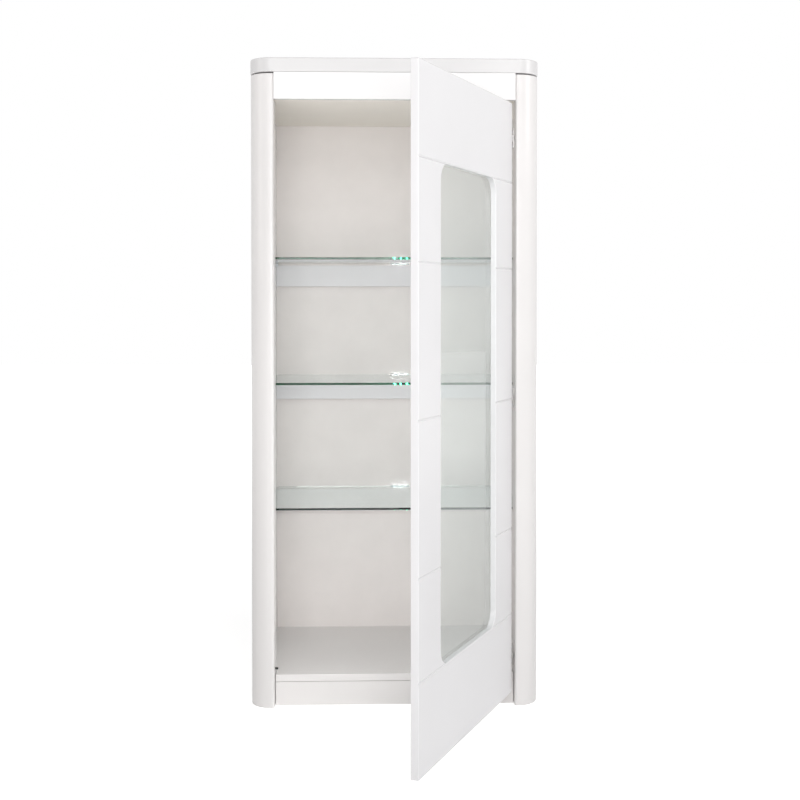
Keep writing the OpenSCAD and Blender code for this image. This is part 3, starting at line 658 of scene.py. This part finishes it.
screws("top_screws_threaded", "top_screws", 2, -1, "cabinet", 4.2 * MM, 8.4 * MM, 3 * MM, threads=16)
nail_boxes = solids_of("back_nails")
nail_len = nail_boxes[0][1].y - nail_boxes[0][0].y
nails = turned("back_nails_headed", ends(nail_boxes, 1, 1), [
    ("Point", 0.0, 0.0), ("Taper", 0.7 * MM, 2 * MM), ("Neck", 0.7 * MM, nail_len - 1 * MM),
    ("Rim", 2.5 * MM, nail_len - 0.7 * MM), ("Face edge", 2.4 * MM, nail_len - 0.1 * MM),
    ("Face", 2.1 * MM, nail_len), ("Middle", 0.0, nail_len)
], plated, segments=16)
fit_on(nails, plated, "cabinet", "plated_steel", "back_nails")
CAM_PIN_BODY, CAM_PIN_THREAD, CAM_THREAD_LEN = 6.4 * MM, 5 * MM, 11 * MM
cam_pin_boxes = solids_of("cam_pins")
cam_pin_len = cam_pin_boxes[0][1].x - cam_pin_boxes[0][0].x
cam_pin_spots = [ends([box], 0, 1 if box[1].x < 0 else -1)[0] for box in cam_pin_boxes]
cam_pins = turned("cam_pins_threaded", cam_pin_spots, [
    ("End", 0.0, 0.0), ("Thread foot", CAM_PIN_THREAD * 0.36, 0.8 * MM),
    ("Thread head", CAM_PIN_THREAD * 0.36, CAM_THREAD_LEN - 1 * MM),
    ("Collar", CAM_PIN_BODY / 2, CAM_THREAD_LEN), ("Neck foot", CAM_PIN_BODY / 2, cam_pin_len - 6 * MM),
    ("Neck", CAM_PIN_BODY * 0.3, cam_pin_len - 5 * MM),
    ("Neck head", CAM_PIN_BODY * 0.3, cam_pin_len - 2.4 * MM),
    ("Ball", CAM_PIN_BODY * 0.46, cam_pin_len - 1.4 * MM),
    ("Ball edge", CAM_PIN_BODY * 0.38, cam_pin_len - 0.3 * MM),
    ("Ball end", CAM_PIN_BODY * 0.2, cam_pin_len), ("Middle", 0.0, cam_pin_len)
], plated, segments=20, threads=7, thread_depth=0.7 * MM)
fit_on(cam_pins, plated, "cabinet", "plated_steel", "cam_pins")
cam_spots = []
for lo, hi in solids_of("cam_locks"):
    axis = 1 if hi.y - lo.y < hi.z - lo.z else 2
    way = 1 if axis == 1 or lo.z > bottom_hi.z else -1
    cam_spots += ends([(lo, hi)], axis, way)
    cam_h = hi[axis] - lo[axis]
    cam_r = (hi.x - lo.x) / 2
cams = turned("cam_locks_slotted", cam_spots, [
    ("Foot", 0.0, 0.0), ("Foot rim", cam_r - 0.6 * MM, 0.0), ("Body foot", cam_r, 0.6 * MM),
    ("Body head", cam_r, cam_h - 1.2 * MM), ("Lip", cam_r - 0.5 * MM, cam_h - 0.9 * MM),
    ("Face edge", cam_r - 0.7 * MM, cam_h), ("Face", 0.0, cam_h)
], cast_zinc, segments=40, slot=(9 * MM, 1.6 * MM, 1.5 * MM), spread=0.0)
fit_on(cams, cast_zinc, "cabinet", "zinc", "cam_locks")
dowel_spots = []
for lo, hi in solids_of("wood_dowels"):
    axis = 1 if hi.y - lo.y > hi.z - lo.z else 2
    dowel_spots += ends([(lo, hi)], axis, 1)
    dowel_l = hi[axis] - lo[axis]
dowels = turned("wood_dowels_fluted", dowel_spots, [
    ("End", 0.0, 0.0), ("End rim", 3.0 * MM, 0.0), ("Body foot", 4.0 * MM, 1.2 * MM),
    ("Body head", 4.0 * MM, dowel_l - 1.2 * MM), ("Far rim", 3.0 * MM, dowel_l), ("Far end", 0.0, dowel_l)
], beech, segments=48, flutes=12, flute_depth=0.03)
fit_on(dowels, beech, "cabinet", "beech", "wood_dowels")

# ---------------------------------------------------------------------------
# Shelf glass: clear float glass with ground and polished edges, green where the light has far to go. Its front
# edge is coloured dark green away from the diodes and left light near them, a painted glow of the diodes' light
# in the glass. It lies on two pins at each end.
# ---------------------------------------------------------------------------


def float_glass(name, tint, density):
    """Clear float glass that turns green with the length of the way through it."""
    material, shader = plain_material(name, (1.0, 1.0, 1.0), 0.0)
    shader.inputs["Transmission Weight"].default_value = 1.0
    shader.inputs["IOR"].default_value = 1.5
    soak = material.node_tree.nodes.new("ShaderNodeVolumeAbsorption")
    soak.inputs["Color"].default_value = (*tint, 1.0)
    soak.inputs["Density"].default_value = density
    out = material.node_tree.nodes["Material Output"]
    material.node_tree.links.new(soak.outputs["Volume"], out.inputs["Volume"])
    return material


shelf_glass = float_glass("shelf_float_glass", (0.08, 0.70, 0.52), 13.0)
glass_nodes, glass_link, glass_place = nodes_of(shelf_glass)[1:]
# Painted glow: the front edge's base colour is dark green more than 100 mm from the diodes and fades to white
# within 20 mm of them. The green is the edge's own colour; the light part near the diodes paints their light in
# the glass.
shelf_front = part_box("lower_glass_shelf")[0].y
parts = glass_nodes.new("ShaderNodeSeparateXYZ")
glass_link(glass_place, parts.inputs[0])
at_edge = glass_nodes.new("ShaderNodeMath")
at_edge.operation = "LESS_THAN"
EDGE_DEPTH = 1.5 * MM
at_edge.inputs[1].default_value = shelf_front + EDGE_DEPTH
from_lights = glass_nodes.new("ShaderNodeMath")
from_lights.operation = "SUBTRACT"
from_lights.inputs[1].default_value = sum(c.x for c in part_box("light_diodes")) / 2
how_far = glass_nodes.new("ShaderNodeMath")
how_far.operation = "ABSOLUTE"
unlit = glass_nodes.new("ShaderNodeMapRange")
LIT_HALF, DARK_FROM = 20 * MM, 100 * MM
unlit.inputs["From Min"].default_value, unlit.inputs["From Max"].default_value = LIT_HALF, DARK_FROM
edge_share = glass_nodes.new("ShaderNodeMath")
edge_share.operation = "MULTIPLY"
edge_green_and_painted_glow = glass_nodes.new("ShaderNodeMix")
edge_green_and_painted_glow.data_type = "RGBA"
edge_green_and_painted_glow.inputs["A"].default_value = (1.0, 1.0, 1.0, 1.0)
edge_green_and_painted_glow.inputs["B"].default_value = (0.04, 0.22, 0.14, 1.0)
glass_link(parts.outputs["Y"], at_edge.inputs[0])
glass_link(parts.outputs["X"], from_lights.inputs[0])
glass_link(from_lights.outputs[0], how_far.inputs[0])
glass_link(how_far.outputs[0], unlit.inputs["Value"])
glass_link(at_edge.outputs[0], edge_share.inputs[0])
glass_link(unlit.outputs["Result"], edge_share.inputs[1])
glass_link(edge_share.outputs[0], edge_green_and_painted_glow.inputs["Factor"])
glass_link(edge_green_and_painted_glow.outputs["Result"], glass_nodes["Principled BSDF"].inputs["Base Color"])
for node in ("lower_glass_shelf", "middle_glass_shelf", "upper_glass_shelf"):
    shelf = slab(node + "_polished", *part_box(node), 2, (2 * MM,) * 4, edge=0.8 * MM, steps=4)
    fit_on(shelf, shelf_glass, "cabinet", "shelf_glass", node)
    shelf.visible_shadow = False
pin_boxes = solids_of("shelf_pins")
PIN_HEAD, PIN_STEM = 7.4 * MM, 5 * MM
pin_spots = [ends([box], 0, 1 if box[1].x < 0 else -1)[0] for box in pin_boxes]
pin_len = pin_boxes[0][1].x - pin_boxes[0][0].x
pin_neck = pin_len - 8 * MM
shelf_pins = turned("shelf_pins_turned", pin_spots, [
    ("End", 0.0, 0.0), ("End rim", PIN_STEM / 2 - 0.6 * MM, 0.0), ("Stem foot", PIN_STEM / 2, 0.6 * MM),
    ("Stem head", PIN_STEM / 2, pin_neck), ("Collar", PIN_HEAD / 2 - 0.2 * MM, pin_neck),
    ("Head foot", PIN_HEAD / 2, pin_neck + 0.3 * MM), ("Head shoulder", PIN_HEAD / 2, pin_len - 0.9 * MM),
    ("Head edge", PIN_HEAD / 2 - 0.35 * MM, pin_len - 0.3 * MM),
    ("Head rim", PIN_HEAD / 2 - 1.0 * MM, pin_len),
    ("Head middle", 0.0, pin_len)
], plated, segments=32)
fit_on(shelf_pins, plated, "cabinet", "plated_steel", "shelf_pins")

# ---------------------------------------------------------------------------
# Shelf lights: a clear moulded clip pushed on the back edge of each shelf, holding three
# white diodes that shine into the glass.
# ---------------------------------------------------------------------------
clip_plastic, clip_shader = plain_material("clear_clip_plastic", (0.85, 0.93, 0.92), 0.12)
clip_shader.inputs["Transmission Weight"].default_value = 0.6
pebbled(clip_plastic, clip_shader, 500.0, 0.0002, 0.1)
CLIP_WALL, CLIP_LIP = 1.6 * MM, 0.5 * MM
clip_radii = (0.7 * MM, 1.2 * MM, 1.2 * MM, 0.7 * MM)
for name in ("lower", "middle", "upper"):
    lo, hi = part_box(name + "_light_clip")
    clip = slab(name + "_light_clip_moulded", lo, hi, 0, clip_radii, edge=0.4 * MM, steps=6)
    slot_lo = Vector((lo.x - CLIP_WALL, lo.y - 4 * CLIP_WALL, lo.z + CLIP_WALL))
    slot_hi = Vector((hi.x + CLIP_WALL, hi.y - CLIP_WALL, hi.z - CLIP_WALL))
    cut(clip, slab("slot", slot_lo, slot_hi, 0, (CLIP_LIP,) * 4, edge=0.0, steps=4))
    fit_on(clip, clip_plastic, "cabinet", "clear_plastic", name + "_light_clip")
diode_lens, diode_shader = plain_material("diode_lens", (0.9, 0.97, 1.0), 0.2)
diode_shader.inputs["Emission Color"].default_value = (1.0, 0.90, 0.92, 1.0)
diode_shader.inputs["Emission Strength"].default_value = 300.0
diode_boxes = solids_of("light_diodes")
diode_depth = diode_boxes[0][1].y - diode_boxes[0][0].y
diode_r = (diode_boxes[0][1].z - diode_boxes[0][0].z) / 2
diodes = turned("light_diodes_domed", ends(diode_boxes, 1, -1), [
    ("Foot", 0.0, 0.0), ("Foot rim", diode_r, 0.0), ("Flange", diode_r, diode_depth * 0.35),
    ("Dome foot", diode_r * 0.82, diode_depth * 0.38), ("Dome side", diode_r * 0.76, diode_depth * 0.7),
    ("Dome crown", diode_r * 0.45, diode_depth * 0.94), ("Dome top", 0.0, diode_depth)
], diode_lens, segments=28)
fit_on(diodes, diode_lens, "cabinet", "diode", "light_diodes")

# ---------------------------------------------------------------------------
# Door: one routed fibreboard panel, with V grooves across its face, a round-cornered window
# and soft front edges, sprayed white all over. Everything on it is made closed, then swung open.
# ---------------------------------------------------------------------------
swing_joint = next(j for j in frame["joints"] if j["name"] == "door_swing")
hinge_line = Vector(swing_joint["pos_m"])
door_open = math.radians(-swing_joint["range_deg"][0])


def turned_about(angle):
    """The turn about the hinge line by an angle."""
    return Matrix.Translation(hinge_line) @ Matrix.Rotation(angle, 4, "Z") @ Matrix.Translation(-hinge_line)


def closed_box(node):
    """A door node's lowest and highest corners with the door closed."""
    back = turned_about(-door_open)
    points = [back @ v.co for v in frame["nodes"][node].data.vertices]
    return (Vector([min(p[a] for p in points) for a in range(3)]),
            Vector([max(p[a] for p in points) for a in range(3)]))


door_lo, door_hi = closed_box("door_panel")
pane_lo, pane_hi = closed_box("door_glass")
WIN_W, WIN_H, WIN_R = 317 * MM, 968 * MM, 35 * MM
GLAZE_LAP, GROOVE_STEP = 8 * MM, 291 * MM
GROOVE_W, GROOVE_DEPTH = 4.4 * MM, 2 * MM
door_mid = (door_lo + door_hi) / 2
panel_radii = (4 * MM, 4 * MM, 2.4 * MM, 2.4 * MM)
panel = slab(
    "door_panel_lacquered", door_lo, door_hi, 1, panel_radii, edge=2.4 * MM, edge_end=1 * MM, steps=8
)


def window_ring(depth, grow):
    """The window's outline at a depth behind the door's face, grown all round."""
    outline = corner_outline(
        door_mid.x - WIN_W / 2 - grow, door_mid.x + WIN_W / 2 + grow,
        door_mid.z - WIN_H / 2 - grow, door_mid.z + WIN_H / 2 + grow, (WIN_R + grow,) * 4, 0.0, 16
    )
    return [(u, door_lo.y + depth, v) for u, v in outline]


lip = 2 * MM
flare = [(lip * (1 - math.sin(t)), lip * (1 - math.cos(t))) for t in [math.pi / 2 * k / 5 for k in range(6)]]
rings = [window_ring(-lip, lip)]
rings += [window_ring(inset_depth, grow) for grow, inset_depth in flare]
seat = pane_lo.y - door_lo.y
rings += [window_ring(seat, 0.0), window_ring(seat, GLAZE_LAP)]
rings += [window_ring(door_hi.y - door_lo.y + lip, GLAZE_LAP)]
cut(panel, lofted("window", rings))
for height in (-WIN_H / 2, -GROOVE_STEP, 0.0, GROOVE_STEP, WIN_H / 2):
    z, face, half = door_mid.z + height, door_lo.y, GROOVE_W / 2
    wedge = [(-1.6 * half, -0.002), (-1.15 * half, -0.0001), (-0.75 * half, 0.0005), (0.0, GROOVE_DEPTH),
             (0.75 * half, 0.0005), (1.15 * half, -0.0001), (1.6 * half, -0.002)]
    both_ways = (door_lo.x - 0.01, door_hi.x + 0.01)
    cut(panel, lofted("groove", [[(x, face + d, z + h) for h, d in wedge] for x in both_ways]))
for name in ("lower", "middle", "upper"):
    cup_lo, cup_hi = closed_box(name + "_hinge_cup")
    middle = (cup_lo.z + cup_hi.z) / 2
    centre_x = door_hi.x - 22.5 * MM
    bore = 17.6 * MM
    bore_lo = Vector((centre_x - bore, door_hi.y - 11.6 * MM, middle - bore))
    bore_hi = Vector((centre_x + bore, door_hi.y + 0.005, middle + bore))
    cut(panel, slab("cup_bore", bore_lo, bore_hi, 1, (bore,) * 4, edge=0.0, steps=12))
panel.data.transform(turned_about(door_open))
door_lacquer = lacquer("door_lacquer", (0.725, 0.715, 0.725), 0.26, 0.35)
fit_on(panel, door_lacquer, "door", "white_lacquer", "door_panel")

pane = slab("door_glass_polished", pane_lo, pane_hi, 1, (WIN_R + GLAZE_LAP,) * 4, edge=0.5 * MM, steps=12)
pane.data.transform(turned_about(door_open))
fit_on(pane, float_glass("door_float_glass", (0.08, 0.70, 0.52), 13.0), "door", "door_glass", "door_glass")
pane.visible_shadow = False
clip_white, clip_white_shader = plain_material("white_clip_plastic", (0.80, 0.80, 0.80), 0.35)
pebbled(clip_white, clip_white_shader, 600.0, 0.0002, 0.15)
closing, opening = turned_about(-door_open), turned_about(door_open)
clip_boxes = solids_of("glass_clips", closing)
clip_r, clip_h = (clip_boxes[0][1].x - clip_boxes[0][0].x) / 2, clip_boxes[0][1].y - clip_boxes[0][0].y
clips = turned("glass_clips_moulded", ends(clip_boxes, 1, 1), [
    ("Bore foot", 1.8 * MM, 0.0), ("Foot", clip_r - 0.3 * MM, 0.0), ("Rim foot", clip_r, 0.3 * MM),
    ("Rim head", clip_r, clip_h * 0.5), ("Shoulder", clip_r - 0.4 * MM, clip_h * 0.8),
    ("Face edge", clip_r - 1.2 * MM, clip_h), ("Bore head", 1.8 * MM, clip_h), ("Bore", 1.8 * MM, 0.0)
], clip_white, segments=40)
clips.data.transform(opening)
fit_on(clips, clip_white, "door", "white_plastic", "glass_clips")
SCREW, SCREW_HEAD = 3.2 * MM, 6.4 * MM
screws(
    "glass_clip_screws_threaded", "glass_clip_screws", 1, 1, "door", SCREW, SCREW_HEAD, 1.8 * MM,
    turn=closing, back=opening
)

# ---------------------------------------------------------------------------
# Hinges and door stop: nickel-plated pressed steel, coloured dark as painted shade for the shadowed hinge gap,
# cups let into the door, arms on plates screwed to the post, and a rubber peg that stops the free edge.
# ---------------------------------------------------------------------------
# The nickel is coloured dark: painted shade standing in for the shadow in the hinge gap, where the hinges look
# black.
nickel_painted_dark = metal("nickel_plating_painted_dark", (0.44, 0.43, 0.42), 0.28)
screws("hinge_plate_screws_threaded", "hinge_plate_screws", 0, -1, "cabinet", SCREW, SCREW_HEAD, 2 * MM)
screws(
    "hinge_arm_screws_threaded", "hinge_arm_screws", 0, -1, "cabinet", SCREW, SCREW_HEAD, 2 * MM, threads=4
)
screws(
    "hinge_cup_screws_threaded", "hinge_cup_screws", 1, 1, "door", SCREW, SCREW_HEAD, 1.6 * MM,
    turn=closing, back=opening
)
PRESSED_EDGE = 0.25 * MM


def softened(node, name, width, material, body, slot):
    """A CAD node's own shape with its edges broken, in place of the sharp one."""
    shape = bmesh.new()
    shape.from_mesh(frame["nodes"][node].data)
    bmesh.ops.remove_doubles(shape, verts=shape.verts, dist=2e-6)
    bmesh.ops.dissolve_limit(shape, angle_limit=math.radians(0.6), verts=shape.verts, edges=shape.edges)
    mesh = bpy.data.meshes.new(name)
    shape.to_mesh(mesh)
    shape.free()
    piece = bpy.data.objects.new(name, mesh)
    bpy.context.scene.collection.objects.link(piece)
    step = piece.modifiers.new("broken_edges", "BEVEL")
    step.width, step.segments, step.limit_method, step.angle_limit = width, 2, "ANGLE", math.radians(35)
    settle(piece)
    fit_on(piece, material, body, slot, node)
    return piece


for name in ("lower", "middle", "upper"):
    for part, body in (("plate", "cabinet"), ("arm", "cabinet"), ("link", "hinge_links"), ("cup", "door")):
        node = f"{name}_hinge_{part}"
        softened(node, node + "_pressed", PRESSED_EDGE, nickel_painted_dark, body, "nickel_steel")
rubber, rubber_shader = plain_material("stop_rubber", (0.03, 0.03, 0.03), 0.7)
pebbled(rubber, rubber_shader, 800.0, 0.0002, 0.3)
stop_box = solids_of("door_stop")
stop_len, stop_r = stop_box[0][1].x - stop_box[0][0].x, (stop_box[0][1].z - stop_box[0][0].z) / 2
stop = turned("door_stop_moulded", ends(stop_box, 0, 1), [
    ("End", 0.0, 0.0), ("End rim", stop_r - 0.4 * MM, 0.0), ("Foot", stop_r, 0.5 * MM),
    ("Head", stop_r, stop_len - 1.2 * MM), ("Shoulder", stop_r * 0.8, stop_len - 0.35 * MM),
    ("Tip rim", stop_r * 0.5, stop_len), ("Tip", 0.0, stop_len)
], rubber, segments=32)
fit_on(stop, rubber, "cabinet", "dark_rubber", "door_stop")
